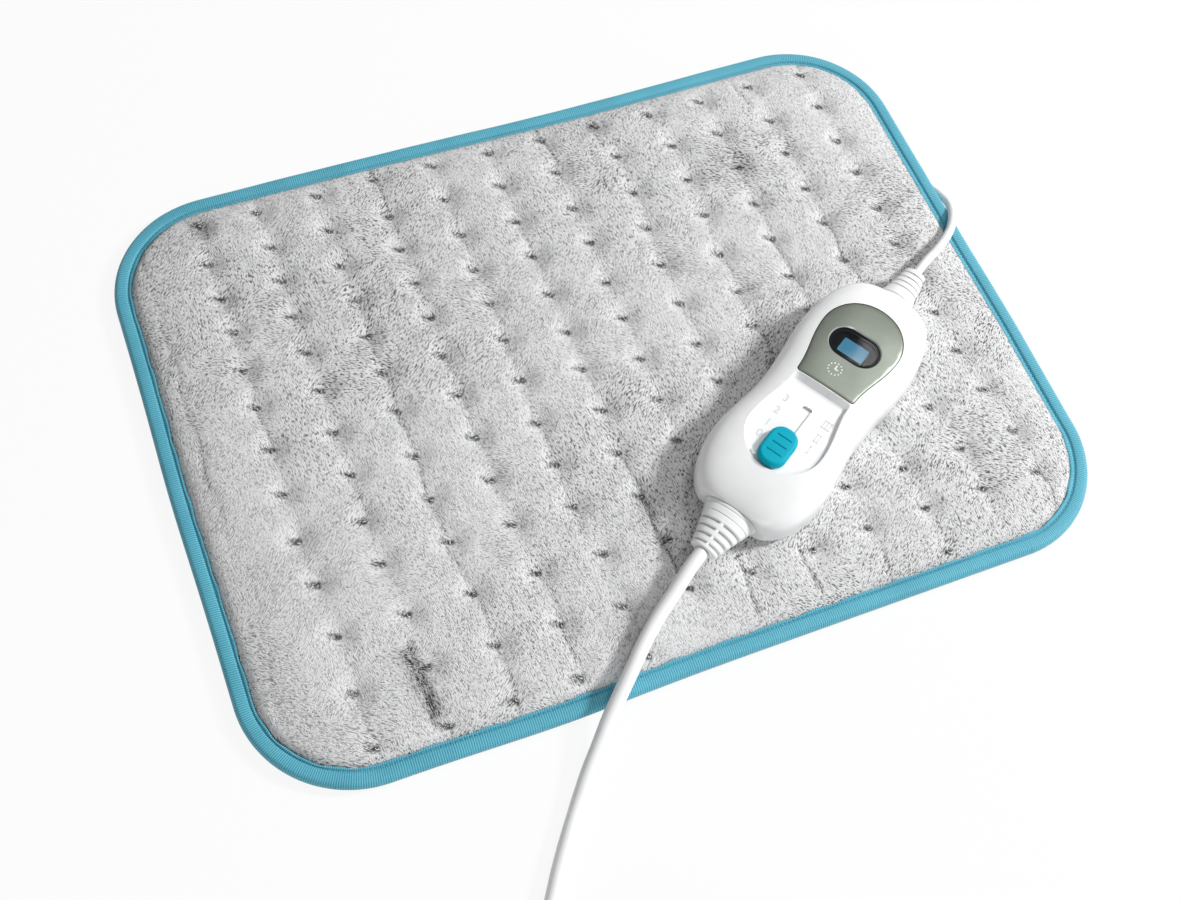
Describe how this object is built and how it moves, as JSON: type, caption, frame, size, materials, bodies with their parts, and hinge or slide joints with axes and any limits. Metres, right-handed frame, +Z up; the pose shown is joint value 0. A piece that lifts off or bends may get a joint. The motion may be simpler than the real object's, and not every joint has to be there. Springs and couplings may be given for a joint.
{
  "type": "heating pad with controller",
  "caption": "Quilted plush heating pad with a taped edge and a corded controller that has a slide button and a display window, on a mains lead with a flat plug.",
  "frame": {"origin": "on the floor below the middle of the pad", "axes": "+X along the pad's long side, towards the cord entry; +Y along its short side; +Z up"},
  "size_m": [0.4054, 0.4919, 0.0359],
  "materials": {
    "plush": "light grey plush with a short brushed pile",
    "fleece": "plain light grey fleece",
    "tape": "turquoise woven tape with fine ribs",
    "wadding": "white fibre filling",
    "gloss_white": "smooth glossy white",
    "fascia": "satin grey-green",
    "lens": "dark clear lens",
    "display": "blue display",
    "knob": "satin turquoise",
    "film": "blue coating",
    "board": "green",
    "black": "dark moulded",
    "metal": "bright metal",
    "copper": "copper",
    "cord": "white flexible cord sheath",
    "core": "brown and blue insulation"
  },
  "bodies": {
    "pad_and_housing": {"bottom_cover": "fleece", "lower_wadding": "wadding", "element_carrier": "fleece", "upper_wadding": "wadding", "top_cover": "plush", "edge_binding": "tape", "heating_wire": "copper", "thermal_cutout_1": "black", "thermal_cutout_2": "black", "element_lead_1": "cord", "element_lead_2": "cord", "junction_block": "black", "pad_cord_gland": "cord", "upper_housing": "gloss_white", "lower_housing": "gloss_white", "fascia_plate": "fascia", "display_window": "lens", "housing_screw_1": "metal", "housing_screw_2": "metal", "housing_screw_3": "metal", "housing_screw_4": "metal", "switch_base": "black", "circuit_board": "board", "display_module": "display", "mains_terminal": "board", "pad_terminal": "board", "capacitor": "film", "relay": "black", "triac": "black", "heat_sink": "metal", "control_chip": "black", "fuse": "lens", "mains_strain_relief": "gloss_white", "pad_strain_relief": "gloss_white", "pad_cord": "cord", "mains_cord": "cord", "mains_coil": "cord", "mains_tail": "cord", "coil_tie": "black", "plug_body": "gloss_white", "plug_pin_1": "metal", "plug_pin_2": "metal", "plug_boot": "gloss_white", "mains_core_1": "core", "mains_core_2": "core", "pad_core_1": "core", "pad_core_2": "core"},
    "slider": {"slide_knob": "knob", "slide_carrier": "gloss_white", "contact_wiper": "copper"}
  },
  "joints": [
    {"name": "setting_slide", "type": "slide", "parent": "pad_and_housing", "child": "slider", "axis": [0.8443, 0.5358, 0], "range_m": [0, 0.022]}
  ]
}
